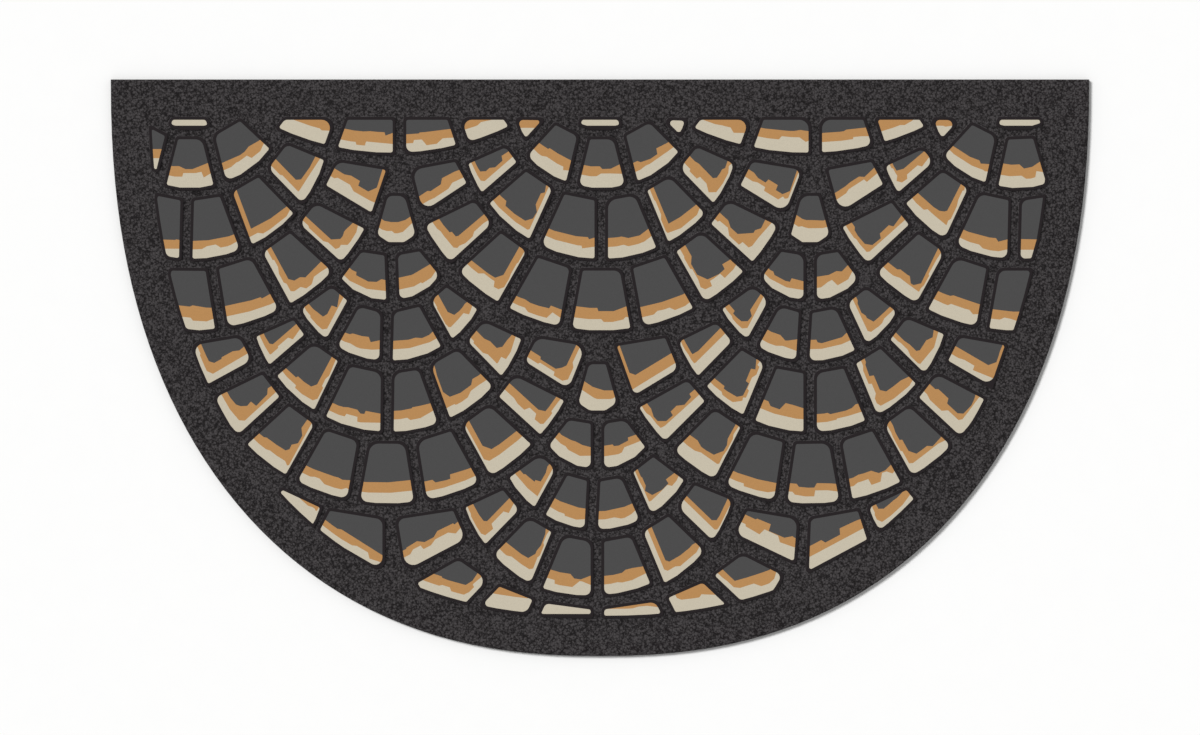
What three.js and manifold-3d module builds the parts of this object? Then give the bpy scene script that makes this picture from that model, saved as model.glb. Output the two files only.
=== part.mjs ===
// Half-round doormat moulded in one piece from rubber: a flocked ground with a
// plain border, and a raised fan-cobble pattern of stones inside it.
// Millimetres, +Z up. The straight edge lies at +Y and the round edge at -Y.
// The origin is the middle of the underside's bounding box.
import * as THREE from "three";
import { mergeVertices } from "three/addons/utils/BufferGeometryUtils.js";
import Module from "manifold-3d";

// Sizes of the whole mat
const WIDTH = 762;
const DEPTH = 449;
const GROUND_HEIGHT = 6.5; // top of the border and of the joints
const STONE_HEIGHT = 8; // top of the stones
const EDGE_CHAMFER = 1.5; // broken top edge all round the mat
const SIDE_POWER = 2.326; // the round edge is a superellipse, with one power across
const DEPTH_POWER = 2.26; // and another from front to back
const OUTLINE_STEPS = 88;

// Sizes of the stones
const BORDER = 28.5; // from the mat's edge to the foot of the outermost stones
const HALF_JOINT = 2.2; // from the middle of a joint to the foot of a stone
const STONE_SLOPE = 1; // how far a stone's side leans in from foot to top
const SUNK = 0.25; // how far a stone's foot reaches down into the ground
const SMALL_ROUND = 3.4; // corner radius of a sharp corner
const LEAST_LARGE_ROUND = 5.5; // corner radius of a soft corner
const MOST_LARGE_ROUND = 9.5;
const SOFT_SHARE = 0.55; // how many of the corners are soft
const LEAST_STONE_AREA = 150; // a smaller rest of a stone at the border is left out
const SHARP_TURN = 24; // degrees: a flatter corner is left as it is
const ARC_STEPS = 3; // straight pieces of a stone's round outer side
const LEAST_SIDE = 3.5; // a shorter side of a stone is left out
const LEAST_STEP = 1.7; // and so is a shorter piece of a rounded corner
const LEAST_END = 7.5; // a stone that tapers to a narrower end stops where it is this wide
const WIDEST_TAPER = 220; // degrees: the two corners of such an end together

// The rings of one fan, from its apex outwards. Lengths run from the fan's hub
// towards the round edge. A ring's joints all point to the point at "joints".
// Its inner and outer sides are arcs about the points at "innerArc" and "arc",
// and "aside" is how far the outer one's middle lies to the right of the axis.
const RINGS = [
  { name: "apex", joints: -85.3, top: -47.5, arc: -26.9, radius: 27 },
  { name: "first", joints: -35.8, innerArc: -77.8, innerRadius: 77.4, arc: -10.5, radius: 55.1 },
  { name: "corner", joints: -9.3, innerArc: -10.5, innerRadius: 55.1, arc: 10.9, radius: 74.5 },
  { name: "second", joints: -9.3, innerArc: -10.5, innerRadius: 55.1, arc: 7.5, radius: 84 },
  { name: "third", joints: 15.6, innerArc: 9, innerRadius: 82.5, arc: 32, radius: 114.7 },
  { name: "short", joints: 15.6, innerArc: 9, innerRadius: 82.5, arc: 13, radius: 130, aside: -6 },
  { name: "fourth", joints: 42.8, innerArc: 35, innerRadius: 111.7, arc: 41, radius: 161.3 },
  { name: "bars", joints: 42.8, innerArc: -21, innerRadius: 165, arc: 41, radius: 170.3 },
  { name: "lowest", joints: 42.8, innerArc: 35, innerRadius: 111.7, arc: -15, radius: 216, aside: -6 },
];

// The fans that show: each hub's place, from the mat's middle and from its
// straight edge, and the angles in degrees of the joints in each of its rings.
// "apexShift" moves the apex stone to the right. The lowest fan has short stones
// in the middle of its third ring, and low bars instead of its fourth.
const FANS = [
  { across: -156, down: -138.5, lowest: [-37, -19.8, 0, 18.6, 34.5] },
  { across: 167.5, down: -138.5, lowest: [-37, -19.8, 0, 18.6, 34.5] },
  {
    across: -319,
    down: -1.5,
    first: [-15.5, 14.5],
    second: [-42.5, -14.3, 14.3, 47],
    third: [-22.5, -1.5, 20.5, 44.2, 67.5],
    fourth: [-10.4, 9.2, 28.5, 47.5, 63],
  },
  {
    across: 1,
    down: -1.5,
    first: [-16.5, 15],
    corner: [-68, -42.5, null, 45, 68], // null: no stone there
    second: [-42.5, -13.7, 14.3, 45],
    third: [-66, -49, -24.5, 0, 22.5, 44.2, 66],
    fourth: [-64, -47.5, -29.5, -10.4, 10.4, 29.5, 47.5, 64],
  },
  {
    across: 325,
    down: -1.5,
    first: [-15.5, 18],
    corner: [-68, -42.5],
    second: [-42.5, -12.3, 17],
    third: [-65, -49, -25, -1.4, 20],
    fourth: [-63.5, -47, -28.8, -10.2, 10.4],
  },
  {
    across: -164,
    down: 133,
    apexShift: 5.5,
    apex: [-15.5, 15.5],
    first: [-37, 2.2, 39.5],
    second: [-54.5, -28.8, -1.5, 28.8, 54.5],
    third: [-66, -49.2, -25.8, -0.8, 20, 44.2, 65],
    fourth: [-64, -47.5, -29.5, -10.4, 9.1, 28.8, 47.5, 63.3],
  },
  {
    across: 163.5,
    down: 133,
    apex: [-15.5, 15.5],
    first: [-38, 0, 37],
    second: [-54.5, -28.8, -3.5, 25, 53],
    third: [-64, -44.2, -22.5, 0, 22.5, 45.5, 67],
    fourth: [-61, -45, -27, -8.6, 10.4, 29, 47, 64],
  },
  { across: -320.5, down: 264, third: [44.2, 65] },
  {
    across: -2,
    down: 264,
    apex: [-15.5, 15.5],
    first: [-38, 0, 37],
    second: [-54.5, -28.8, -2.9, 23.5, 53],
    third: [-65, -44.2, -22.5, null, 22.5, 46, 68],
    short: [-22.5, 0, 22.5],
    bars: [-60.5, -43.5, -24.5, 0, 27, 46.5, 63],
  },
  { across: 312, down: 264, third: [-65, -44.2] },
];

// The stones beside the next fan's apex. Each hangs from a hub on one side of its
// axis: its near side leans from "near" to "nearFoot" and its far side from
// "far" outwards, and the two end at "foot" and "farFoot" below the hub.
const FLANKS = [
  { across: -156, down: -138.5, side: -1, near: 3.5, nearFoot: 19, foot: 250, far: 51, farFoot: 223 },
  { across: -156, down: -138.5, side: 1, near: 3.5, nearFoot: 15, foot: 250, far: 46, farFoot: 221 },
  { across: 167.5, down: -138.5, side: -1, near: 3.5, nearFoot: 21, foot: 250, far: 52, farFoot: 223 },
  { across: 167.5, down: -138.5, side: 1, near: 3.5, nearFoot: 16, foot: 250, far: 46.5, farFoot: 222 },
  { across: -327.5, down: -2, side: 1, near: 3.5, nearFoot: 19, foot: 247, far: 50, farFoot: 223 },
  { across: 1, down: -1.5, side: -1, near: 5, nearFoot: 23, foot: 250, far: 53, farFoot: 223 },
  { across: 1, down: -1.5, side: 1, near: 5, nearFoot: 23, foot: 255, far: 53, farFoot: 229 },
  { across: 329, down: -2, side: -1, near: 7, nearFoot: 22, foot: 248, far: 52, farFoot: 223 },
  { across: -161, down: 133, side: -1, near: 3, nearFoot: 3, foot: 258, far: 52, farFoot: 222 },
  { across: -164, down: 133, side: 1, near: 0.5, nearFoot: 9, foot: 257, far: 53, farFoot: 227 },
  { across: 164.5, down: 133, side: -1, near: 5.5, nearFoot: 9, foot: 250, far: 53, farFoot: 223 },
  { across: 156, down: 133, side: 1, near: 3, nearFoot: 1, foot: 258, far: 48, farFoot: 226 },
];
const FLANK_TOP = 205; // from the hub to the near end of a flank stone's inner side
const FLANK_RISE = 8; // how much nearer to the hub that side's far end is
const FLANK_SPREAD = 13; // how far the far side leans outwards

const RUBBER_COLOUR = 0x2c292a;

// A small repeatable stream of numbers from 0 to 1
function randomStream(seed) {
  let state = seed;
  return () => {
    state = (state * 1103515245 + 12345) % 2147483648;
    return state / 2147483648;
  };
}

const degrees = (angle) => (angle * Math.PI) / 180;

// The mat's outline, anticlockwise from the right end of the straight edge
function matOutline() {
  const points = [];
  for (let i = 0; i <= OUTLINE_STEPS; i++) {
    const angle = (Math.PI * i) / OUTLINE_STEPS;
    const across = Math.cos(angle);
    const side = (WIDTH / 2) * Math.sign(across) * Math.abs(across) ** (2 / SIDE_POWER);
    const down = DEPTH * Math.sin(angle) ** (2 / DEPTH_POWER);
    points.push(new THREE.Vector2(side, DEPTH / 2 - down));
  }
  return points.reverse();
}

// An outline without the points that follow another one too closely
function spaced(points, least) {
  return points.filter((p, i) => p.distanceTo(points.at(i - 1)) > least);
}

// What is left of a convex outline on the left side of a line
function cutByLine(points, start, along) {
  const sideOf = (p) => along.cross(new THREE.Vector2().subVectors(p, start));
  const kept = [];
  points.forEach((p, i) => {
    const next = points[(i + 1) % points.length];
    const here = sideOf(p);
    const there = sideOf(next);
    if (here >= 0) kept.push(p.clone());
    if (here * there < 0) kept.push(p.clone().lerp(next, here / (here - there)));
  });
  return kept;
}

// A convex outline cut back to the inside of another one that is shrunk first
function cutBack(points, boundary, distance) {
  let kept = points;
  boundary.forEach((start, i) => {
    const along = boundary[(i + 1) % boundary.length].clone().sub(start).normalize();
    const inwards = new THREE.Vector2(-along.y, along.x);
    kept = cutByLine(kept, start.clone().addScaledVector(inwards, distance), along);
  });
  return kept;
}

const shrink = (points, distance) => cutBack(points, points, distance);

// A stone that tapers to a very narrow end stops where it is wide enough
function bluntEnds(points) {
  let kept = points;
  points.forEach((start, i) => {
    const end = points[(i + 1) % points.length];
    const along = end.clone().sub(start);
    const missing = LEAST_END - along.length();
    const first = along.angleTo(points.at(i - 1).clone().sub(start));
    const second = Math.PI - along.angleTo(points[(i + 2) % points.length].clone().sub(end));
    if (missing <= 0 || first + second > degrees(WIDEST_TAPER)) return;
    const growth = -1 / Math.tan(first) - 1 / Math.tan(second);
    if (growth <= 0) return;
    const inwards = new THREE.Vector2(-along.y, along.x).setLength(missing / growth);
    kept = cutByLine(kept, start.clone().add(inwards), along.normalize());
  });
  return kept;
}

// Where the joint at an angle from a ring's joint point meets an arc
function onArc(arc, from, angle) {
  const along = new THREE.Vector2(Math.sin(degrees(angle)), Math.cos(degrees(angle)));
  const offset = new THREE.Vector2(-arc.aside, from - arc.middle);
  const lean = along.dot(offset);
  const reach = Math.sqrt(arc.radius ** 2 - offset.lengthSq() + lean ** 2) - lean;
  return [reach * along.x, from + reach * along.y];
}

// The corners of one stone, across and down from its hub: first its round outer side
function stoneCorners(ring, from, to) {
  const outer = { middle: ring.arc, aside: ring.aside ?? 0, radius: ring.radius };
  const corners = [];
  for (let i = 0; i <= ARC_STEPS; i++)
    corners.push(onArc(outer, ring.joints, from + ((to - from) * i) / ARC_STEPS));
  if (ring.top !== undefined) {
    const half = (ring.top - ring.joints) * Math.tan(degrees(to));
    corners.push([half, ring.top], [-half, ring.top]);
    return corners;
  }
  const inner = { middle: ring.innerArc, aside: 0, radius: ring.innerRadius };
  corners.push(onArc(inner, ring.joints, to), onArc(inner, ring.joints, from));
  return corners;
}

// The corners of a stone beside the next fan's apex
function flankCorners(flank) {
  return [
    [flank.side * flank.near, FLANK_TOP],
    [flank.side * flank.far, FLANK_TOP - FLANK_RISE],
    [flank.side * (flank.far + FLANK_SPREAD), flank.farFoot],
    [flank.side * flank.nearFoot, flank.foot],
  ];
}

// A stone on the mat from corners that are measured from a hub
function placed(corners, across, down) {
  const points = corners.map(([x, y]) => new THREE.Vector2(across + x, DEPTH / 2 - down - y));
  return THREE.ShapeUtils.area(points) < 0 ? points.reverse() : points;
}

// Every stone of the pattern, from the middle of one joint to the next
function patternCells() {
  const cells = [];
  for (const fan of FANS)
    for (const ring of RINGS) {
      const joints = fan[ring.name] ?? [];
      const shift = ring.name === "apex" ? (fan.apexShift ?? 0) : 0;
      for (let i = 1; i < joints.length; i++) {
        if (joints[i - 1] === null || joints[i] === null) continue;
        const corners = stoneCorners(ring, joints[i - 1], joints[i]);
        cells.push(placed(corners, fan.across + shift, fan.down));
      }
    }
  for (const flank of FLANKS) cells.push(placed(flankCorners(flank), flank.across, flank.down));
  return cells;
}

// Corners cut to arcs, each with a radius of its own
function roundCorners(points, random) {
  const rounded = [];
  points.forEach((corner, i) => {
    const before = points[(i + points.length - 1) % points.length].clone().sub(corner);
    const after = points[(i + 1) % points.length].clone().sub(corner);
    const turn = Math.PI - Math.abs(before.angleTo(after));
    const soft = random() < SOFT_SHARE;
    const large = LEAST_LARGE_ROUND + (MOST_LARGE_ROUND - LEAST_LARGE_ROUND) * random();
    if (turn < degrees(SHARP_TURN)) {
      rounded.push(corner);
      return;
    }
    const wanted = (soft ? large : SMALL_ROUND) * Math.tan(turn / 2);
    const back = Math.min(wanted, 0.45 * before.length(), 0.45 * after.length());
    const first = before.setLength(back).add(corner);
    const last = after.setLength(back).add(corner);
    rounded.push(first);
    if (soft) rounded.push(first.clone().add(last).multiplyScalar(0.25).addScaledVector(corner, 0.5));
    rounded.push(last);
  });
  return rounded;
}

// The feet of all stones, cut to the panel inside the border
function stoneOutlines(outline) {
  const random = randomStream(7);
  const stones = [];
  for (const cell of patternCells()) {
    const inside = cutBack(shrink(cell, HALF_JOINT), outline, BORDER);
    const points = bluntEnds(spaced(inside, LEAST_SIDE));
    if (points.length < 3 || THREE.ShapeUtils.area(points) < LEAST_STONE_AREA) continue;
    stones.push(spaced(roundCorners(points, random), LEAST_STEP));
  }
  return stones;
}

// A solid between two heights, its top edge sloped in
function slopedPlate(points, bottom, top, slopeHeight, slopeWidth) {
  const geometry = new THREE.ExtrudeGeometry(
    new THREE.Shape(points),
    {
      depth: top - bottom - 2 * slopeHeight,
      bevelEnabled: true,
      bevelThickness: slopeHeight,
      bevelSize: slopeWidth,
      bevelOffset: -slopeWidth,
      bevelSegments: 1,
      curveSegments: 1,
    },
  );
  return geometry.translate(0, 0, bottom + slopeHeight);
}

const wasm = await Module();
wasm.setup();

function solidOf(geometry) {
  geometry.deleteAttribute("normal");
  geometry.deleteAttribute("uv");
  const merged = mergeVertices(geometry, 1e-4);
  return new wasm.Manifold(
    new wasm.Mesh({
      numProp: 3,
      vertProperties: merged.attributes.position.array,
      triVerts: new Uint32Array(merged.index.array),
    }),
  );
}

function geometryOf(solid) {
  const mesh = solid.getMesh();
  const geometry = new THREE.BufferGeometry();
  geometry.setAttribute("position", new THREE.BufferAttribute(mesh.vertProperties, 3));
  geometry.setIndex(new THREE.BufferAttribute(mesh.triVerts, 1));
  return geometry;
}

// The mat: ground with a chamfered edge, then the stones, then the flat underside
function matSolid() {
  const outline = matOutline();
  const below = -2 * EDGE_CHAMFER;
  let solid = solidOf(
    slopedPlate(outline, below, GROUND_HEIGHT, EDGE_CHAMFER, EDGE_CHAMFER),
  );
  const slopeHeight = STONE_HEIGHT - GROUND_HEIGHT + SUNK;
  const foot = GROUND_HEIGHT / 2 - slopeHeight;
  for (const points of stoneOutlines(outline))
    solid = solid.add(
      solidOf(slopedPlate(points, foot, STONE_HEIGHT, slopeHeight, STONE_SLOPE)),
    );
  const underside = new THREE.BoxGeometry(2 * WIDTH, 2 * DEPTH, 2 * WIDTH);
  underside.translate(0, 0, -WIDTH);
  return solid.subtract(solidOf(underside));
}

const mat = new THREE.Mesh(
  geometryOf(matSolid()),
  new THREE.MeshStandardMaterial({ color: RUBBER_COLOUR, roughness: 0.95, metalness: 0 }),
);
mat.name = "mat";

const doormat = new THREE.Group();
doormat.add(mat);

export default doormat;
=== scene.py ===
import math
import random

import bmesh
import bpy
from bpy.props import FloatProperty, FloatVectorProperty, IntProperty, PointerProperty
from mathutils import Matrix, Vector, noise
from mathutils.geometry import intersect_line_line_2d


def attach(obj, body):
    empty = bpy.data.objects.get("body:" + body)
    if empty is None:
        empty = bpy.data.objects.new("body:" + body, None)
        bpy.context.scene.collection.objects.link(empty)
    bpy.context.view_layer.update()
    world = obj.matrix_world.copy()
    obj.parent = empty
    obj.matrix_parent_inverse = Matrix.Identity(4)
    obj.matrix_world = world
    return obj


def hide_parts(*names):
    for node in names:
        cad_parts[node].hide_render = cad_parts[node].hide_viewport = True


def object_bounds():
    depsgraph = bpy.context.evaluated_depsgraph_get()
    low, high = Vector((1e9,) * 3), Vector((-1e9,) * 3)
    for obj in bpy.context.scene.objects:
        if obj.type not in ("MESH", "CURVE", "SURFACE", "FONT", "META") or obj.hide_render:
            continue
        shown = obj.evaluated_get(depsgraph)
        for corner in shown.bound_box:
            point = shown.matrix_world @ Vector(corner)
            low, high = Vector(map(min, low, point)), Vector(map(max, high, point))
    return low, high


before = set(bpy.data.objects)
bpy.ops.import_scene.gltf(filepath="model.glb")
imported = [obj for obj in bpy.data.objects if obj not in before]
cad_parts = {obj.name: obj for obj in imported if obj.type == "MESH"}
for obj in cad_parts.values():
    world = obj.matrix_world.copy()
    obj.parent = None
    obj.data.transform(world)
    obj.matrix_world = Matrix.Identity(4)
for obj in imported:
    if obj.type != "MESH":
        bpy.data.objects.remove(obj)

bl_info = {
    "name": "Half-round doormat",
    "version": (1, 0, 0),
    "blender": (4, 5, 0),
    "location": "View3D > Sidebar > Doormat",
    "description": "Makes a half-round rubber doormat with flocked fan-cobble stones",
    "category": "Object",
}

CAD_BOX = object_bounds()
MM = 0.001

# The mat's round edge is a superellipse, with one power across and one down.
SIDE_POWER = 2.326
DEPTH_POWER = 2.26
OUTLINE_STEPS = 88

# Sizes of the stones, in millimetres as in the part's source
BORDER = 28.5
HALF_JOINT = 2.2
SMALL_ROUND = 3.4
LEAST_LARGE_ROUND = 5.5
MOST_LARGE_ROUND = 9.5
LEAST_SIDE = 3.5
LEAST_END = 7.5
LEAST_STONE_AREA = 150

# The share of the corners with a large radius, the seed that picks them, and the
# most of a side that the arc of one corner takes up
SOFT_SHARE = 0.55
CORNER_SEED = 7
ROUND_REACH = 0.45

# In degrees: a corner that turns by less stays as it is, and so does the end of a
# stone where its two angles come to more
SHARP_TURN = 24
WIDEST_TAPER = 220

# Steps in the arc of a ring, in a rounded corner and in the mat's round edge
ARC_STEPS = 3
ROUND_STEPS = 6
EDGE_STEPS = 4

# A stone's mesh, in metres: how far its foot is sunk into the ground, how far below
# the top its shoulder starts, and the share of the slope and the rise of each step
SUNK_FOOT = 0.0008
SHOULDER_DROP = 0.0004
SIDE_SHARE = 0.7
SHOULDER_STEPS = ((0.3, 0.0003), (0.35, 0.0001))

# Sizes of the prints, in millimetres. Lower ones than the first two have one tone or
# two, and a narrow one has level lines between its tones. The cut makes a print with
# one tone level below.
LOW_PRINT = 10.6
HALF_PRINT = 23
NARROW_PRINT = 19
LEVEL_CUT = 1.3
LEAST_PRINT_SIDE = 0.8
LEAST_PRINT_ROUND = 1.3

# A print's corner has the radius of the stone's, less this share of the way in
ROUND_LOSS = 0.6

# The light tone along a print's lower sides, and the middle tone above it. Widths and
# cuts are in millimetres. Only a side that faces down by "least_down" has the tone,
# and one that just does has "least_share" of its width. The tone is wider by up to
# "lean" on one side of the stone, and narrower on the other. The steps of its line
# are "sway" of the width, and those away from the edge "highest" of that. "cut" is
# what its sharp corners lose.
LIGHT_TONE = {
    "width": (6.4, 9.2), "least_down": 0.36, "least_share": 0.3, "lean": 0.75,
    "sway": 0.36, "highest": 1, "cut": (0.5, 3.5),
}
MIDDLE_TONE = {
    "width": (6.2, 9.0), "least_down": 0.32, "least_share": 0.35, "lean": 0.35,
    "sway": 0.45, "highest": 0.55, "cut": (2, 6),
}

# The light tone's share of a print with two tones, and the most that the light and
# the middle tone have of any print's height
HALF_SHARE = (0.4, 0.6)
MOST_SHARE = 0.66

# The steps of a line between tones, in millimetres along a side: the place of the
# first one, its run, the stretch up to the next one, and the least that is left of
# the side where a step starts and where its run ends
FIRST_STEP = (2.5, 10)
STEP_RUNS = (0.8, 2.0, 3.5, 5.0)
STEP_GAPS = (6, 15)
STEP_MARGIN = 3
RUN_MARGIN = 1.8

# Shares: the sides without steps, the lowest step against the highest, the most of
# the depth inside the print that a step takes up, and the most of a side that a cut
# corner takes up
PLAIN_SIDES = 0.3
LEAST_STEP = 0.35
STEP_REACH = 0.45
CUT_REACH = 0.4

# A line that meets another one, or comes nearer than this to the print's edge in
# millimetres, is drawn again with less sway
LEAST_DEPTH = 0.4
SWAY_SHARES = (1, 0.8, 0.6, 0.4, 0.2)

# In millimetres: what counts as inside a print, as level and as at a corner
FREE_DEPTH = 0.05
LEVEL_TOLERANCE = 0.01
NEAR_CORNER = 0.3

# Sizes of the flock, in metres: one tuft, the strands that break it up, and the bump
TUFT = 0.0017
STRAND = 0.0011
FLOCK_RELIEF = 0.0003

# The height of the flock: the parts of a tuft's own tone, of the distance from its
# middle and of the strands, and the heights where it is quite dark and quite light
TONE_PART = 0.3
DISTANCE_PART = -0.5
STRAND_PART = 1.2
DARK_HEIGHT = 0.34
LIGHT_HEIGHT = 0.72

# The flock on the stones' sides is this many times as light as the ground's: a painted highlight,
# which the sun brings out where a side faces it
SIDE_HIGHLIGHT = 1.7

# The tufts of the ground's mesh: their seed, how far they stray as a share of the
# pitch, and the scale of their noise per metre
TUFT_SEED = 3
TUFT_STRAY = 0.3
TUFT_NOISE = 900

# The share of the round edge's height that is flocked
FLOCKED_EDGE = 0.9

# Where the ground's grid is well outside the outline and well inside it, with 1 on it,
# and the tolerance of the cut between them in metres
WELL_OUTSIDE = 1.06
WELL_INSIDE = 0.93
CUT_TOLERANCE = 1e-7

# A corner of the rim moves out by the rim's own way divided by at least this
LEAST_MITRE = 0.5

# Fine-grained materials: how dark and light they get against their colour, the size
# of the grains in metres, the contrast between them and their relief in metres
RUBBER_GRAIN = {"tones": (1, 1.35), "grain": 0.0008, "contrast": 0.3, "relief": 0.0001}
RIM_GRAIN = {"tones": (1, 1.3), "grain": 0.0009, "contrast": 0.3, "relief": 0.0001}
PRINT_GRAIN = {"tones": (0.94, 1.06), "grain": 0.0006, "contrast": 0.2, "relief": 0.00012}
FLOOR_GRAIN = {"tones": (1, 1.01), "grain": 0.02, "contrast": 0.3, "relief": 0.00002}
NAP_FINENESS = 2.2
BUMP_STRENGTH = 0.6

# The stage: half the floor's side in metres, and the sky's and the sun's light
HALF_FLOOR = 6
SKY_STRENGTH = 0.4
SUN_STRENGTH = 2.3
SUN_SIZE = math.radians(16)
SUN_PLACE = (-0.51, 0.36, 1.0)

# The camera: its lens and sensor in millimetres, the widths of the picture and of the
# mat in it in pixels, and how far it is behind the mat's middle in metres
LENS = 120
SENSOR = 36
PICTURE_PIXELS = 1200
MAT_PIXELS = 979
CAMERA_BACK = 0.0002

# The rings of one fan, from its apex outwards, in millimetres down from the fan's hub.
# The joints of a ring spread from "joints". "arc" and "radius" are the middle and the
# radius of its outer arc, and "aside" moves that middle to the right. "inner" has
# both for its inner arc, and the apex has a level top instead.
RINGS = (
    {"name": "apex", "joints": -85.3, "top": -47.5, "arc": -26.9, "radius": 27},
    {"name": "first", "joints": -35.8, "inner": (-77.8, 77.4), "arc": -10.5, "radius": 55.1},
    {"name": "corner", "joints": -9.3, "inner": (-10.5, 55.1), "arc": 10.9, "radius": 74.5},
    {"name": "second", "joints": -9.3, "inner": (-10.5, 55.1), "arc": 7.5, "radius": 84},
    {"name": "third", "joints": 15.6, "inner": (9, 82.5), "arc": 32, "radius": 114.7},
    {"name": "short", "joints": 15.6, "inner": (9, 82.5), "arc": 13, "radius": 130, "aside": -6},
    {"name": "fourth", "joints": 42.8, "inner": (35, 111.7), "arc": 41, "radius": 161.3},
    {"name": "bars", "joints": 42.8, "inner": (-21, 165), "arc": 41, "radius": 170.3},
    {"name": "lowest", "joints": 42.8, "inner": (35, 111.7), "arc": -15, "radius": 216, "aside": -6},
)

# The fans that show: each hub's place, from the mat's middle and from its straight
# edge, and the angles in degrees of the joints in each of its rings. No stone lies
# beside None. "apex_shift" moves the apex stone to the right. The lowest fan has
# short stones in the middle of its third ring, and low bars instead of its fourth.
FANS = (
    {"across": -156, "down": -138.5, "lowest": (-37, -19.8, 0, 18.6, 34.5)},
    {"across": 167.5, "down": -138.5, "lowest": (-37, -19.8, 0, 18.6, 34.5)},
    {
        "across": -319,
        "down": -1.5,
        "first": (-15.5, 14.5),
        "second": (-42.5, -14.3, 14.3, 47),
        "third": (-22.5, -1.5, 20.5, 44.2, 67.5),
        "fourth": (-10.4, 9.2, 28.5, 47.5, 63),
    },
    {
        "across": 1,
        "down": -1.5,
        "first": (-16.5, 15),
        "corner": (-68, -42.5, None, 45, 68),
        "second": (-42.5, -13.7, 14.3, 45),
        "third": (-66, -49, -24.5, 0, 22.5, 44.2, 66),
        "fourth": (-64, -47.5, -29.5, -10.4, 10.4, 29.5, 47.5, 64),
    },
    {
        "across": 325,
        "down": -1.5,
        "first": (-15.5, 18),
        "corner": (-68, -42.5),
        "second": (-42.5, -12.3, 17),
        "third": (-65, -49, -25, -1.4, 20),
        "fourth": (-63.5, -47, -28.8, -10.2, 10.4),
    },
    {
        "across": -164,
        "down": 133,
        "apex_shift": 5.5,
        "apex": (-15.5, 15.5),
        "first": (-37, 2.2, 39.5),
        "second": (-54.5, -28.8, -1.5, 28.8, 54.5),
        "third": (-66, -49.2, -25.8, -0.8, 20, 44.2, 65),
        "fourth": (-64, -47.5, -29.5, -10.4, 9.1, 28.8, 47.5, 63.3),
    },
    {
        "across": 163.5,
        "down": 133,
        "apex": (-15.5, 15.5),
        "first": (-38, 0, 37),
        "second": (-54.5, -28.8, -3.5, 25, 53),
        "third": (-64, -44.2, -22.5, 0, 22.5, 45.5, 67),
        "fourth": (-61, -45, -27, -8.6, 10.4, 29, 47, 64),
    },
    {"across": -320.5, "down": 264, "third": (44.2, 65)},
    {
        "across": -2,
        "down": 264,
        "apex": (-15.5, 15.5),
        "first": (-38, 0, 37),
        "second": (-54.5, -28.8, -2.9, 23.5, 53),
        "third": (-65, -44.2, -22.5, None, 22.5, 46, 68),
        "short": (-22.5, 0, 22.5),
        "bars": (-60.5, -43.5, -24.5, 0, 27, 46.5, 63),
    },
    {"across": 312, "down": 264, "third": (-65, -44.2)},
)

# The stones beside the next fan's apex: their hub and side of its axis, and from the
# hub the near side's top and lower end and the far side's. The near sides all start
# equally far down, the far ones a little higher, and those lean out alike.
FLANK_COLUMNS = ("across", "down", "side", "near", "near_foot", "foot", "far", "far_foot")
FLANKS = (
    (-156, -138.5, -1, 3.5, 19, 250, 51, 223),
    (-156, -138.5, 1, 3.5, 15, 250, 46, 221),
    (167.5, -138.5, -1, 3.5, 21, 250, 52, 223),
    (167.5, -138.5, 1, 3.5, 16, 250, 46.5, 222),
    (-327.5, -2, 1, 3.5, 19, 247, 50, 223),
    (1, -1.5, -1, 5, 23, 250, 53, 223),
    (1, -1.5, 1, 5, 23, 255, 53, 229),
    (329, -2, -1, 7, 22, 248, 52, 223),
    (-161, 133, -1, 3, 3, 258, 52, 222),
    (-164, 133, 1, 0.5, 9, 257, 53, 227),
    (164.5, 133, -1, 5.5, 9, 250, 53, 223),
    (156, 133, 1, 3, 1, 258, 48, 226),
)
FLANK_TOP = 205
FLANK_RISE = 8
FLANK_SPREAD = 13


def linear(red, green, blue):
    """A screen colour of 0 to 255 as the linear colour that a shader takes"""
    def channel(value):
        value /= 255
        return value / 12.92 if value <= 0.04045 else ((value + 0.055) / 1.055) ** 2.4
    return (channel(red), channel(green), channel(blue))


def length_property(name, description, default):
    return FloatProperty(
        name=name, description=description, default=default, min=0.0, unit="LENGTH", precision=5
    )


def colour_property(name, description, default):
    return FloatVectorProperty(
        name=name, description=description, default=default, size=3, min=0.0, max=1.0, subtype="COLOR"
    )


class DoormatSizes(bpy.types.PropertyGroup):
    """Sizes of the doormat"""

    width: length_property("Width", "Along the straight edge", CAD_BOX[1].x - CAD_BOX[0].x)
    depth: length_property(
        "Depth", "From the straight edge to the round one", CAD_BOX[1].y - CAD_BOX[0].y
    )
    stone_height: length_property("Stone height", "Top of the stones above the floor", CAD_BOX[1].z)
    ground_height: length_property("Ground height", "Top of the border above the floor", 0.0065)
    edge_round: length_property("Edge round", "Radius of the mat's top edge", 0.0015)
    foot_round: length_property("Foot round", "Radius of the mat's bottom edge", 0.0004)
    stone_slope: length_property("Stone slope", "How far a stone's side leans in", 0.001)
    print_margin: length_property("Print margin", "Bare rim round the print on a stone", 0.0021)
    flock_pitch: length_property("Flock pitch", "Distance between the tufts of the ground", 0.00186)
    flock_height: length_property("Flock height", "How much the tufts rise and fall", 0.0004)


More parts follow.
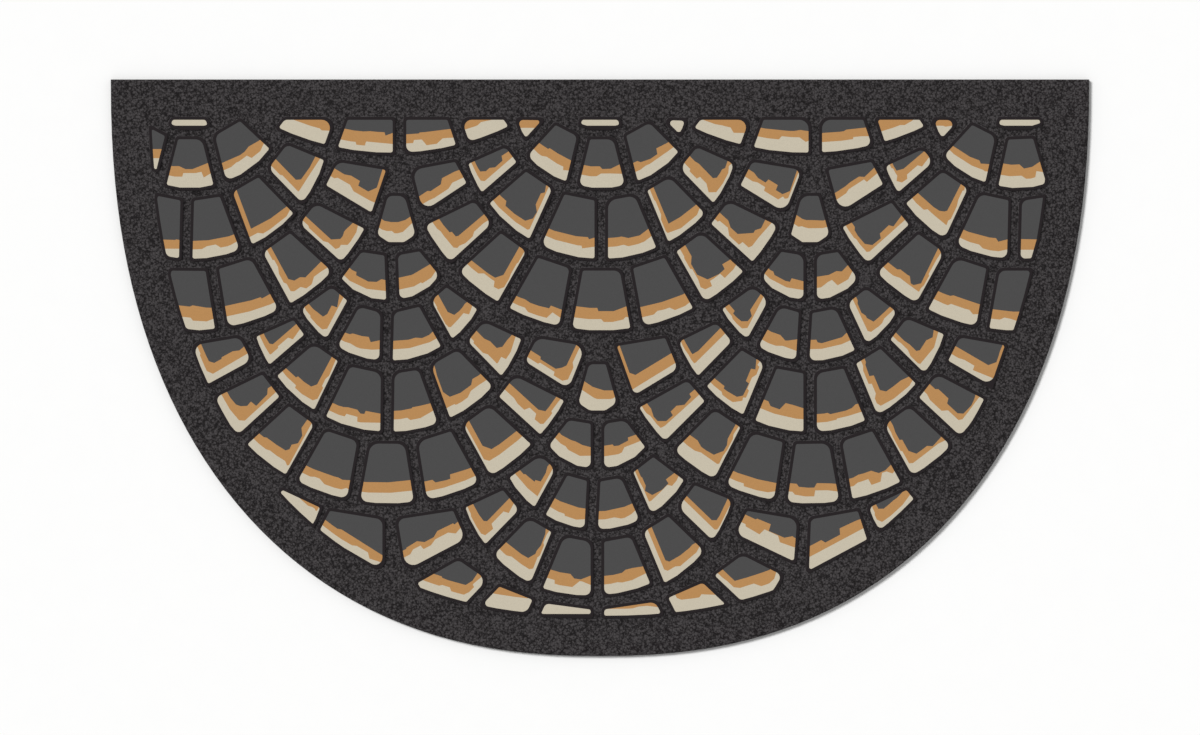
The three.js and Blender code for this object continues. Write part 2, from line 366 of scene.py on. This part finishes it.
class DoormatColours(bpy.types.PropertyGroup):
    """Colours of the doormat"""

    rubber: colour_property("Rubber", "Bare rubber of the side and underside", linear(37, 34, 34))
    rim: colour_property("Stone rim", "Bare rim of each stone", linear(30, 25, 27))
    ground: colour_property("Ground", "Dark flock of the ground", linear(24, 21, 22))
    fleck: colour_property("Fleck", "Light flock of the ground", linear(72, 69, 70))
    shade: colour_property("Dark tone", "Upper part of each stone", linear(72.6, 72.3, 72.5))
    clay: colour_property("Middle tone", "Band across each stone", linear(181, 135, 84))
    chalk: colour_property("Light tone", "Lower band of each stone", linear(197, 188, 168))
    floor: colour_property("Floor", "Studio floor", (0.965, 0.965, 0.96))
    seed: IntProperty(name="Seed", description="Starts the jagged tone lines", default=11, min=0)


def random_stream(seed):
    """The same small repeatable stream of numbers as in the part's source"""
    state = float(seed)
    while True:
        state = math.fmod(state * 1103515245.0 + 12345.0, 2147483648.0)
        yield state / 2147483648.0


def polygon_area(points):
    return sum(a.cross(b) for a, b in zip(points, points[1:] + points[:1])) / 2


def mat_outline(width, depth):
    """The mat's outline, anticlockwise from the left end of the straight edge"""
    points = []
    for i in range(OUTLINE_STEPS, -1, -1):
        angle = math.pi * i / OUTLINE_STEPS
        across = math.cos(angle)
        side = width / 2 * math.copysign(abs(across) ** (2 / SIDE_POWER), across)
        down = depth * abs(math.sin(angle)) ** (2 / DEPTH_POWER)
        points.append(Vector((side, depth / 2 - down)))
    return points


def spaced(points, least):
    return [p for i, p in enumerate(points) if (p - points[i - 1]).length > least]


def cut_by_line(points, start, along):
    """What is left of a convex outline on the left side of a line"""
    kept = []
    for i, point in enumerate(points):
        following = points[(i + 1) % len(points)]
        here = along.cross(point - start)
        there = along.cross(following - start)
        if here >= 0:
            kept.append(point.copy())
        if here * there < 0:
            kept.append(point.lerp(following, here / (here - there)))
    return kept


def cut_back(points, boundary, distance):
    kept = points
    for i, start in enumerate(boundary):
        along = (boundary[(i + 1) % len(boundary)] - start).normalized()
        inwards = Vector((-along.y, along.x))
        kept = cut_by_line(kept, start + inwards * distance, along)
    return kept


def shrink(points, distance):
    return cut_back(points, points, distance)


def blunt_ends(points):
    """A stone that tapers to a very narrow end stops where it is wide enough"""
    kept = points
    count = len(points)
    for i, start in enumerate(points):
        end = points[(i + 1) % count]
        along = end - start
        missing = LEAST_END - along.length
        first = along.angle(points[i - 1] - start)
        second = math.pi - along.angle(points[(i + 2) % count] - end)
        if missing <= 0 or first + second > math.radians(WIDEST_TAPER):
            continue
        growth = -1 / math.tan(first) - 1 / math.tan(second)
        if growth > 0:
            along.normalize()
            inwards = Vector((-along.y, along.x)) * (missing / growth)
            kept = cut_by_line(kept, start + inwards, along)
    return kept


def on_arc(middle, aside, radius, start, angle):
    """Where the joint at an angle from a ring's joint point meets an arc"""
    along = Vector((math.sin(math.radians(angle)), math.cos(math.radians(angle))))
    offset = Vector((-aside, start - middle))
    lean = along.dot(offset)
    reach = math.sqrt(radius**2 - offset.length_squared + lean**2) - lean
    return (reach * along.x, start + reach * along.y)


def stone_corners(ring, begin, end):
    joints = ring["joints"]
    outer = (ring["arc"], ring.get("aside", 0), ring["radius"])
    corners = [
        on_arc(*outer, joints, begin + (end - begin) * i / ARC_STEPS) for i in range(ARC_STEPS + 1)
    ]
    if "top" in ring:
        half = (ring["top"] - joints) * math.tan(math.radians(end))
        return corners + [(half, ring["top"]), (-half, ring["top"])]
    middle, radius = ring["inner"]
    inner = (middle, 0, radius)
    return corners + [on_arc(*inner, joints, end), on_arc(*inner, joints, begin)]


def flank_corners(flank):
    side = flank["side"]
    return [
        (side * flank["near"], FLANK_TOP),
        (side * flank["far"], FLANK_TOP - FLANK_RISE),
        (side * (flank["far"] + FLANK_SPREAD), flank["far_foot"]),
        (side * flank["near_foot"], flank["foot"]),
    ]


def placed(corners, across, down, depth):
    points = [Vector((across + x, depth / 2 - down - y)) for x, y in corners]
    return points[::-1] if polygon_area(points) < 0 else points


def pattern_cells(depth):
    """Every stone of the pattern, from the middle of one joint to the next"""
    cells = []
    for fan in FANS:
        for ring in RINGS:
            joints = fan.get(ring["name"], ())
            shift = fan.get("apex_shift", 0) if ring["name"] == "apex" else 0
            for begin, end in zip(joints, joints[1:]):
                if begin is None or end is None:
                    continue
                corners = stone_corners(ring, begin, end)
                cells.append(placed(corners, fan["across"] + shift, fan["down"], depth))
    for row in FLANKS:
        flank = dict(zip(FLANK_COLUMNS, row))
        cells.append(placed(flank_corners(flank), flank["across"], flank["down"], depth))
    return cells


def stone_feet(width, depth):
    """Corners of each stone's foot, in millimetres, and the radius of each corner"""
    numbers = random_stream(CORNER_SEED)
    outline = mat_outline(width, depth)
    feet = []
    for cell in pattern_cells(depth):
        inside = cut_back(shrink(cell, HALF_JOINT), outline, BORDER)
        points = blunt_ends(spaced(inside, LEAST_SIDE))
        if len(points) < 3 or polygon_area(points) < LEAST_STONE_AREA:
            continue
        radii = []
        for _ in points:
            soft = next(numbers) < SOFT_SHARE
            large = LEAST_LARGE_ROUND + (MOST_LARGE_ROUND - LEAST_LARGE_ROUND) * next(numbers)
            radii.append(large if soft else SMALL_ROUND)
        feet.append((points, radii))
    return feet


def rounded(points, radii):
    """An outline with its corners bent to arcs, each with a radius of its own"""
    bent = []
    for i, corner in enumerate(points):
        before = points[i - 1] - corner
        after = points[(i + 1) % len(points)] - corner
        turn = math.pi - before.angle(after)
        if turn < math.radians(SHARP_TURN):
            bent.append(corner.copy())
            continue
        most = min(ROUND_REACH * before.length, ROUND_REACH * after.length)
        back = min(radii[i] * math.tan(turn / 2), most)
        way = before.normalized()
        arm = Vector((-way.y, way.x)) * back / math.tan(turn / 2)
        centre = corner + way * back - arm
        for step in range(ROUND_STEPS + 1):
            bent.append(centre + Matrix.Rotation(turn * step / ROUND_STEPS, 2) @ arm)
    return bent


def print_outline(points, radii, distance):
    """The corners and the outline of a stone's print, a distance inside its foot"""
    inner = spaced(shrink(points, distance), LEAST_PRINT_SIDE)
    lowest = min(p.y for p in inner)
    height = max(p.y for p in inner) - lowest
    least = LEAST_PRINT_ROUND
    if height < LOW_PRINT:
        level = Vector((0, lowest + LEVEL_CUT))
        inner = spaced(cut_by_line(inner, level, Vector((1, 0))), LEAST_PRINT_SIDE)
        least = (height - LEVEL_CUT) / 2
    kept_radii = []
    for corner in inner:
        nearest = min(range(len(points)), key=lambda i: (points[i] - corner).length)
        kept_radii.append(max(least, radii[nearest] - ROUND_LOSS * distance))
    return inner, rounded(inner, kept_radii)


def depth_inside(outline, place):
    """How far a place lies inside a convex outline"""
    least = math.inf
    for i, start in enumerate(outline):
        along = (outline[(i + 1) % len(outline)] - start).normalized()
        least = min(least, along.cross(place - start))
    return least


def band(down, tone):
    """The share of a tone's width on a side that faces down this much, from 0 to 1"""
    least, share = tone["least_down"], tone["least_share"]
    if down < least:
        return 0
    return share + (1 - share) * (down - least) / (1 - least)


def run_length(chain):
    return sum((b - a).length for a, b in zip(chain, chain[1:]))


def tone_chain(outline, points, depths):
    """The line at its own depth inside each side of a print, from left to right"""
    kept = outline
    for i, start in enumerate(points):
        if depths[i] > 0:
            along = (points[(i + 1) % len(points)] - start).normalized()
            inwards = Vector((-along.y, along.x))
            kept = cut_by_line(kept, start + inwards * depths[i], along)
    count = len(kept)
    middles = [kept[i].lerp(kept[(i + 1) % count], 0.5) for i in range(count)]
    free = [depth_inside(outline, middle) > FREE_DEPTH for middle in middles]
    longest = []
    for i in range(count):
        if free[i] and not free[i - 1]:
            last = i
            while free[last % count]:
                last += 1
            chain = [kept[k % count] for k in range(i, last + 1)]
            if run_length(chain) > run_length(longest):
                longest = chain
    return longest


def blunted(chain, least, most, numbers):
    """A line of tone with its sharp corners cut off"""
    blunt = [chain[0]]
    for before, corner, after in zip(chain, chain[1:], chain[2:]):
        back, onwards = before - corner, after - corner
        if math.pi - back.angle(onwards) < math.radians(SHARP_TURN):
            blunt.append(corner)
            continue
        cut = numbers.uniform(least, most)
        blunt.append(corner + back.normalized() * min(cut, CUT_REACH * back.length))
        blunt.append(corner + onwards.normalized() * min(cut, CUT_REACH * onwards.length))
    return blunt + [chain[-1]]


def stepped(chain, outline, sway, highest, numbers):
    """The same line with the uneven steps of a stencil cut by hand"""
    line = [chain[0]]
    level = 0
    high = numbers.random() < 0.5
    for start, end in zip(chain, chain[1:]):
        side = end - start
        along = side.normalized()
        up = Vector((-along.y, along.x))
        plain = numbers.random() < PLAIN_SIDES
        gone = side.length if plain else numbers.uniform(*FIRST_STEP)
        places = []
        while gone < side.length - STEP_MARGIN:
            places.append((gone, level))
            gone += numbers.choice(STEP_RUNS)
            level = numbers.uniform(LEAST_STEP, 1) * (highest if high else -1)
            if gone < side.length - RUN_MARGIN:
                places.append((gone, level))
            high = not high
            gone += numbers.uniform(*STEP_GAPS)
        if end is not chain[-1]:
            places.append((side.length, level))
        for distance, height in places:
            spot = start + along * distance
            room = STEP_REACH * depth_inside(outline, spot)
            line.append(spot + up * (height * min(sway, room)))
    return line + [chain[-1]]


def crosses(line, other):
    """Whether two lines of tone meet, or one meets itself"""
    for i, (a, b) in enumerate(zip(line, line[1:])):
        for k, (c, d) in enumerate(zip(other, other[1:])):
            if line is other and abs(i - k) < 2:
                continue
            if intersect_line_line_2d(a, b, c, d):
                return True
    return False


def tone_line(chain, outline, below, tone, width, numbers):
    """A line of tone that stays inside the print and above the line below it"""
    for share in SWAY_SHARES:
        blunt = blunted(chain, *tone["cut"], numbers)
        line = stepped(blunt, outline, tone["sway"] * width * share, tone["highest"], numbers)
        deep = all(depth_inside(outline, spot) > LEAST_DEPTH for spot in line[1:-1])
        if deep and not crosses(line, line) and not crosses(line, below):
            return line
    return chain


def tone_depths(points, light, middle, numbers):
    """How far the two lines of tone lie inside each side of a print"""
    light_lean = numbers.uniform(-LIGHT_TONE["lean"], LIGHT_TONE["lean"])
    middle_lean = numbers.uniform(-MIDDLE_TONE["lean"], MIDDLE_TONE["lean"])
    lower, upper = [], []
    for i, start in enumerate(points):
        along = (points[(i + 1) % len(points)] - start).normalized()
        first = light * band(along.x, LIGHT_TONE) * (1 + light_lean * along.y)
        second = middle * band(along.x, MIDDLE_TONE) * (1 + middle_lean * along.y)
        lower.append(first)
        upper.append(first + second)
    return lower, upper


def level_line(outline, height):
    """The level line at a height above a print's lowest point"""
    lowest = min(p.y for p in outline)
    below = Vector((0, lowest + height))
    kept = cut_by_line(outline, below, Vector((1, 0)))
    on_line = [p for p in kept if p.y < below.y + LEVEL_TOLERANCE]
    return sorted(on_line, key=lambda p: p.x)


def tone_lines(outline, points, numbers):
    """The lines between a stone's tones, lowest first, and the tones from below"""
    height = max(p.y for p in points) - min(p.y for p in points)
    width = max(p.x for p in points) - min(p.x for p in points)
    if height < LOW_PRINT:
        return [], ("chalk",)
    light = numbers.uniform(*LIGHT_TONE["width"])
    middle = numbers.uniform(*MIDDLE_TONE["width"])
    if height < HALF_PRINT:
        light, middle = height * numbers.uniform(*HALF_SHARE), 0
    squeeze = min(1.0, MOST_SHARE * height / (light + middle))
    light *= squeeze
    middle *= squeeze
    if width < NARROW_PRINT:
        chains = (level_line(outline, light), level_line(outline, light + middle))
    else:
        depths = tone_depths(points, light, middle, numbers)
        chains = [tone_chain(outline, points, depth) for depth in depths]
    lines, tones = [], ["chalk"]
    if chains[0]:
        lines.append(tone_line(chains[0], outline, [], LIGHT_TONE, light, numbers))
        tones.append("clay")
    if middle and chains[1]:
        below = lines[0] if lines else []
        lines.append(tone_line(chains[1], outline, below, MIDDLE_TONE, middle, numbers))
        tones.append("shade")
    return lines, tuple(tones)


def edge_loop(mesh, points, height):
    """A closed loop of edges at a height, from an outline in millimetres"""
    corners = [mesh.verts.new((p.x * MM, p.y * MM, height)) for p in points]
    edges = [mesh.edges.new((corners[i - 1], corner)) for i, corner in enumerate(corners)]
    return corners, edges


def corner_at(face, place):
    """A corner of a face at a place on its edge, made by splitting the edge"""
    best = None
    for edge in face.edges:
        start, end = (v.co.xy for v in edge.verts)
        side = end - start
        share = (place - start).dot(side) / side.length_squared if side.length else 0.0
        share = min(1.0, max(0.0, share))
        distance = (start + side * share - place).length
        if best is None or distance < best[0]:
            best = (distance, edge, share, side.length)
    _, edge, share, length = best
    start, end = edge.verts
    if share * length < NEAR_CORNER * MM:
        return start
    if (1 - share) * length < NEAR_CORNER * MM:
        return end
    return bmesh.utils.edge_split(edge, start, share)[1]


def split_face(face, line, height):
    """Cuts a face along a line from left to right: the part below it and the part above"""
    places = [p * MM for p in line]
    first = corner_at(face, places[0])
    last = corner_at(face, places[-1])
    if first is last:
        return None, face
    old = set(face.verts)
    coords = [(p.x, p.y, height) for p in places[1:-1]]
    other, _ = bmesh.utils.face_split(face, first, last, coords=coords)
    if other is None:
        return None, face
    for part, rest in ((face, other), (other, face)):
        following = next(loop.link_loop_next.vert for loop in part.loops if loop.vert is first)
        if following is last or following not in old:
            return rest, part
    return None, face


def add_stone(mesh, foot, radii, sizes, slots, numbers):
    """One raised stone: sloped side, rounded shoulder, bare rim and printed top"""
    slope = sizes.stone_slope
    top = sizes.stone_height
    base = sizes.ground_height - SUNK_FOOT
    corners, _ = edge_loop(mesh, rounded(foot, radii), base)
    face = mesh.faces.new(corners)
    face.normal_update()
    steps = [(SIDE_SHARE * slope, top - SHOULDER_DROP - base, "side")]
    steps += [(share * slope, rise, "rim") for share, rise in SHOULDER_STEPS]
    for thickness, depth, tone in steps:
        ring = bmesh.ops.inset_region(
            mesh, faces=[face], thickness=thickness, depth=depth, use_boundary=True,
            use_even_offset=True,
        )["faces"]
        for part in ring:
            part.material_index = slots[tone]
    mesh.faces.new(corners[::-1])
    shoulder = list(face.edges)
    mesh.faces.remove(face)
    distance = (slope + sizes.print_margin) / MM
    points, outline = print_outline(foot, radii, distance)
    corners, print_edges = edge_loop(mesh, outline, top)
    filled = bmesh.ops.triangle_fill(mesh, edges=shoulder + print_edges, normal=(0, 0, 1))
    for part in filled["geom"]:
        if isinstance(part, bmesh.types.BMFace):
            part.material_index = slots["rim"]
    upper_face = mesh.faces.new(corners)
    lines, tones = tone_lines(outline, points, numbers)
    for line, tone in zip(lines, tones):
        below, above = split_face(upper_face, line, top)
        if below is not None:
            below.material_index = slots[tone]
            upper_face = above
    upper_face.material_index = slots[tones[-1]]


def matt_material(name, roughness, specular, sheen):
    """A new matt material, with nothing on its shader's colour and normal yet"""
    material = bpy.data.materials.new(name)
    material.use_nodes = True
    shader = material.node_tree.nodes["Principled BSDF"]
    shader.inputs["Roughness"].default_value = roughness
    shader.inputs["Specular IOR Level"].default_value = specular
    shader.inputs["Sheen Weight"].default_value = sheen
    return material


def texture(tree, kind, settings):
    """A texture on Object coordinates, with the values of some of its sockets"""
    place = tree.nodes.new("ShaderNodeTexCoord")
    node = tree.nodes.new(kind)
    for name, value in settings.items():
        node.inputs[name].default_value = value
    tree.links.new(place.outputs["Object"], node.inputs["Vector"])
    return node


def paint(tree, height, least, most, dark, light):
    """Gives the surface its colour, from dark to light between two heights"""
    spread = tree.nodes.new("ShaderNodeMapRange")
    spread.inputs["From Min"].default_value = least
    spread.inputs["From Max"].default_value = most
    tree.links.new(height, spread.inputs["Value"])
    blend = tree.nodes.new("ShaderNodeMix")
    blend.data_type = "RGBA"
    blend.inputs["A"].default_value = (*dark, 1)
    blend.inputs["B"].default_value = (*light, 1)
    tree.links.new(spread.outputs["Result"], blend.inputs["Factor"])
    tree.links.new(blend.outputs["Result"], tree.nodes["Principled BSDF"].inputs["Base Color"])


def emboss(tree, height, relief):
    """Gives the surface its relief, in metres"""
    bump = tree.nodes.new("ShaderNodeBump")
    bump.inputs["Strength"].default_value = BUMP_STRENGTH
    bump.inputs["Distance"].default_value = relief
    tree.links.new(height, bump.inputs["Height"])
    tree.links.new(bump.outputs["Normal"], tree.nodes["Principled BSDF"].inputs["Normal"])


def grain_material(name, colour, tones, grain, contrast, relief):
    """Rubber, print or floor: a colour in two tones of fine grain, with its relief"""
    material = matt_material(name, roughness=0.92, specular=0.25, sheen=0.0)
    tree = material.node_tree
    dark, light = (shifted(colour, tone) for tone in tones)
    settings = {"Scale": 1 / grain, "Detail": 2.0, "Roughness": 0.55}
    speck = texture(tree, "ShaderNodeTexNoise", settings)
    paint(tree, speck.outputs["Fac"], 0.5 - contrast, 0.5 + contrast, dark, light)
    nap = texture(tree, "ShaderNodeTexNoise", {"Scale": NAP_FINENESS / grain, "Detail": 2.0})
    emboss(tree, nap.outputs["Fac"], relief)
    return material


def flock_material(name, dark, light):
    """Dark flock with light tufts in it, each tuft with a tone of its own"""
    material = matt_material(name, roughness=0.95, specular=0.2, sheen=0.03)
    tree = material.node_tree
    tuft = texture(tree, "ShaderNodeTexVoronoi", {"Scale": 1 / TUFT})
    tone = tree.nodes.new("ShaderNodeSeparateColor")
    tree.links.new(tuft.outputs["Color"], tone.inputs["Color"])
    settings = {"Scale": 1 / STRAND, "Detail": 4.0, "Roughness": 0.6, "Distortion": 0.6}
    strand = texture(tree, "ShaderNodeTexNoise", settings)
    red, distance = tone.outputs["Red"], tuft.outputs["Distance"]
    crown = weighted(tree, red, TONE_PART, distance, DISTANCE_PART)
    height = weighted(tree, crown, 1.0, strand.outputs["Fac"], STRAND_PART)
    paint(tree, height, DARK_HEIGHT, LIGHT_HEIGHT, dark, light)
    emboss(tree, height, FLOCK_RELIEF)
    return material


def weighted(tree, first, first_weight, second, second_weight):
    """The weighted sum of two values"""
    scaled = tree.nodes.new("ShaderNodeMath")
    scaled.operation = "MULTIPLY"
    scaled.inputs[1].default_value = first_weight
    tree.links.new(first, scaled.inputs[0])
    total = tree.nodes.new("ShaderNodeMath")
    total.operation = "MULTIPLY_ADD"
    total.inputs[1].default_value = second_weight
    tree.links.new(second, total.inputs[0])
    tree.links.new(scaled.outputs["Value"], total.inputs[2])
    return total.outputs["Value"]


def shifted(colour, factor):
    return tuple(min(1.0, c * factor) for c in colour)


def finished(mesh, name, materials):
    """A bmesh as an object at the origin, with its materials"""
    data = bpy.data.meshes.new(name)
    mesh.to_mesh(data)
    mesh.free()
    for material in materials:
        data.materials.append(material)
    piece = bpy.data.objects.new(name, data)
    bpy.context.scene.collection.objects.link(piece)
    return piece


def outwards(corner):
    """The even way out from a corner of the mesh's open rim"""
    ways = []
    for edge in corner.link_edges:
        if edge.is_boundary:
            side = (edge.verts[1].co - edge.verts[0].co).xy.normalized()
            way = Vector((side.y, -side.x))
            middle = (edge.verts[0].co + edge.verts[1].co).xy / 2
            ways.append(way if way.dot(middle) > 0 else -way)
    mean = (ways[0] + ways[1]).normalized()
    return mean / max(LEAST_MITRE, mean.dot(ways[0]))


def grow_rim(mesh, out, height):
    """Extrudes the open rim and moves the new one out, to a height"""
    rim = [edge for edge in mesh.edges if edge.is_boundary]
    made = bmesh.ops.extrude_edge_only(mesh, edges=rim)["geom"]
    corners = [part for part in made if isinstance(part, bmesh.types.BMVert)]
    moves = {corner: outwards(corner) for corner in corners}
    for corner, way in moves.items():
        corner.co.x += way.x * out
        corner.co.y += way.y * out
        corner.co.z = height


class DOORMAT_OT_body(bpy.types.Operator):
    """Make the mat's body, with the flocked border and joints"""

    bl_idname = "doormat.body"
    bl_label = "Mat body"

    def execute(self, context):
        sizes, colours = context.scene.doormat_sizes, context.scene.doormat_colours
        width, depth, pitch = sizes.width, sizes.depth, sizes.flock_pitch
        edge = sizes.edge_round
        outline = mat_outline(width, depth)
        inner = shrink(outline, edge)
        mesh = bmesh.new()
        bmesh.ops.create_grid(
            mesh, x_segments=round(width / pitch), y_segments=round(depth / pitch), size=0.5
        )
        bmesh.ops.scale(mesh, vec=(width, depth - edge, 1), verts=mesh.verts)
        bmesh.ops.translate(mesh, vec=(0, -edge / 2, sizes.ground_height), verts=mesh.verts)
        self.trim(mesh, inner, width, depth)
        self.raise_flock(mesh, sizes)
        for step in range(1, EDGE_STEPS + 1):
            turn = math.radians(90 * step / EDGE_STEPS)
            before = math.radians(90 * (step - 1) / EDGE_STEPS)
            out = edge * (math.sin(turn) - math.sin(before))
            grow_rim(mesh, out, sizes.ground_height - edge * (1 - math.cos(turn)))
        grow_rim(mesh, 0, sizes.foot_round)
        grow_rim(mesh, -sizes.foot_round, 0)
        rim = [part for part in mesh.edges if part.is_boundary]
        under = bmesh.ops.contextual_create(mesh, geom=rim)["faces"]
        for face in mesh.faces:
            face.smooth = True
            if face.calc_center_median().z < sizes.ground_height - FLOCKED_EDGE * edge:
                face.material_index = 1
        for face in under:
            face.smooth = False
        bmesh.ops.recalc_face_normals(mesh, faces=mesh.faces)
        ground = flock_material("flocked ground", colours.ground, colours.fleck)
        rubber = grain_material("bare rubber", colours.rubber, **RUBBER_GRAIN)
        body = finished(mesh, "mat_body", (ground, rubber))
        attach(body, "root")
        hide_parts("mat")
        return {"FINISHED"}

    def trim(self, mesh, inner, width, depth):
        """Cuts the grid to the outline, working only on what lies near it"""
        def fullness(corner):
            across = abs(corner.co.x) / (width / 2)
            down = max(0.0, depth / 2 - corner.co.y) / depth
            return across**SIDE_POWER + down**DEPTH_POWER
        share = {corner: fullness(corner) for corner in mesh.verts}
        outside = [c for c in mesh.verts if share[c] > WELL_OUTSIDE]
        bmesh.ops.delete(mesh, geom=outside, context="VERTS")
        near = [f for f in mesh.faces if max(share[c] for c in f.verts) > WELL_INSIDE]
        parts = (part for face in near for part in (face, *face.verts, *face.edges))
        geom = list(dict.fromkeys(parts))
        straight = max(corner.y for corner in inner) - LEVEL_TOLERANCE * MM
        for start, end in zip(inner, inner[1:] + inner[:1]):
            if min(start.y, end.y) > straight:
                continue
            along = (end - start).normalized()
            geom = bmesh.ops.bisect_plane(
                mesh, geom=geom, dist=CUT_TOLERANCE, plane_co=(start.x, start.y, 0),
                plane_no=(along.y, -along.x, 0), clear_outer=True,
            )["geom"]

    def raise_flock(self, mesh, sizes):
        """Tufts: each corner of the grid strays and rises by its own amount"""
        numbers = random.Random(TUFT_SEED)
        for corner in mesh.verts:
            if corner.is_boundary:
                continue
            stray = TUFT_STRAY * sizes.flock_pitch
            corner.co.x += numbers.uniform(-stray, stray)
            corner.co.y += numbers.uniform(-stray, stray)
            rough = noise.noise(corner.co * TUFT_NOISE)
            corner.co.z += sizes.flock_height * (0.5 * rough + numbers.uniform(-0.5, 0.5)) / 2


class DOORMAT_OT_stones(bpy.types.Operator):
    """Make the raised stones with their printed tones"""

    bl_idname = "doormat.stones"
    bl_label = "Stones"

    def execute(self, context):
        sizes, colours = context.scene.doormat_sizes, context.scene.doormat_colours
        numbers = random.Random(colours.seed)
        slots = {"side": 0, "rim": 1, "shade": 2, "clay": 3, "chalk": 4}
        mesh = bmesh.new()
        feet = stone_feet(sizes.width / MM, sizes.depth / MM)
        if not feet:
            raise RuntimeError("no stone fits inside the border")
        for points, radii in feet:
            stone = bmesh.new()
            add_stone(stone, points, radii, sizes, slots, numbers)
            bmesh.ops.recalc_face_normals(stone, faces=stone.faces)
            data = bpy.data.meshes.new("one_stone")
            stone.to_mesh(data)
            stone.free()
            mesh.from_mesh(data)
            bpy.data.meshes.remove(data)
        # The stones' sides have the ground's flock made lighter, as a painted highlight
        dark, light = (shifted(tone, SIDE_HIGHLIGHT) for tone in (colours.ground, colours.fleck))
        materials = [
            flock_material("stone side painted highlight", dark, light),
            grain_material("stone rim", colours.rim, **RIM_GRAIN),
            grain_material("shade print", colours.shade, **PRINT_GRAIN),
            grain_material("clay print", colours.clay, **PRINT_GRAIN),
            grain_material("chalk print", colours.chalk, **PRINT_GRAIN),
        ]
        stones = finished(mesh, "stones", materials)
        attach(stones, "root")
        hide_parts("mat")
        return {"FINISHED"}


class DOORMAT_OT_stage(bpy.types.Operator):
    """Make the pale floor, the soft light and the camera above the mat"""

    bl_idname = "doormat.stage"
    bl_label = "Stage"

    def execute(self, context):
        scene = context.scene
        sizes, colours = scene.doormat_sizes, scene.doormat_colours
        mesh = bmesh.new()
        bmesh.ops.create_grid(mesh, x_segments=4, y_segments=4, size=HALF_FLOOR)
        pale = grain_material("pale floor", colours.floor, **FLOOR_GRAIN)
        floor = finished(mesh, "floor", [pale])
        world = bpy.data.worlds.new("studio")
        world.use_nodes = True
        sky = world.node_tree.nodes["Background"]
        sky.inputs["Color"].default_value = (1, 1, 1, 1)
        sky.inputs["Strength"].default_value = SKY_STRENGTH
        scene.world = world
        key = bpy.data.lights.new("key", "SUN")
        key.energy = SUN_STRENGTH
        key.angle = SUN_SIZE
        lamp = bpy.data.objects.new("key", key)
        lamp.rotation_euler = Vector(SUN_PLACE).to_track_quat("Z", "Y").to_euler()
        scene.collection.objects.link(lamp)
        lens = bpy.data.cameras.new("camera")
        lens.lens = LENS
        lens.sensor_width = SENSOR
        camera = bpy.data.objects.new("camera", lens)
        frame_width = PICTURE_PIXELS * sizes.width / MAT_PIXELS
        camera.location = (0, CAMERA_BACK, frame_width * LENS / SENSOR + sizes.ground_height)
        scene.collection.objects.link(camera)
        scene.camera = camera
        scene.view_settings.view_transform = "Standard"
        return {"FINISHED"}


class DOORMAT_PT_panel(bpy.types.Panel):
    """Sizes, colours and pieces of the doormat"""

    bl_idname = "DOORMAT_PT_panel"
    bl_label = "Doormat"
    bl_space_type = "VIEW_3D"
    bl_region_type = "UI"
    bl_category = "Doormat"

    def draw(self, context):
        layout = self.layout
        for group in (context.scene.doormat_sizes, context.scene.doormat_colours):
            for name in group.__annotations__:
                layout.prop(group, name)
        for operator in OPERATORS:
            layout.operator(operator.bl_idname)


GROUPS = (DoormatSizes, DoormatColours)
OPERATORS = (DOORMAT_OT_body, DOORMAT_OT_stones, DOORMAT_OT_stage)
CLASSES = (*GROUPS, *OPERATORS, DOORMAT_PT_panel)


def register():
    for item in CLASSES:
        bpy.utils.register_class(item)
    bpy.types.Scene.doormat_sizes = PointerProperty(type=DoormatSizes)
    bpy.types.Scene.doormat_colours = PointerProperty(type=DoormatColours)


def unregister():
    del bpy.types.Scene.doormat_colours
    del bpy.types.Scene.doormat_sizes
    for item in reversed(CLASSES):
        bpy.utils.unregister_class(item)


def main():
    register()
    bpy.ops.doormat.body()
    bpy.ops.doormat.stones()
    bpy.ops.doormat.stage()


if __name__ == "__main__":
    main()
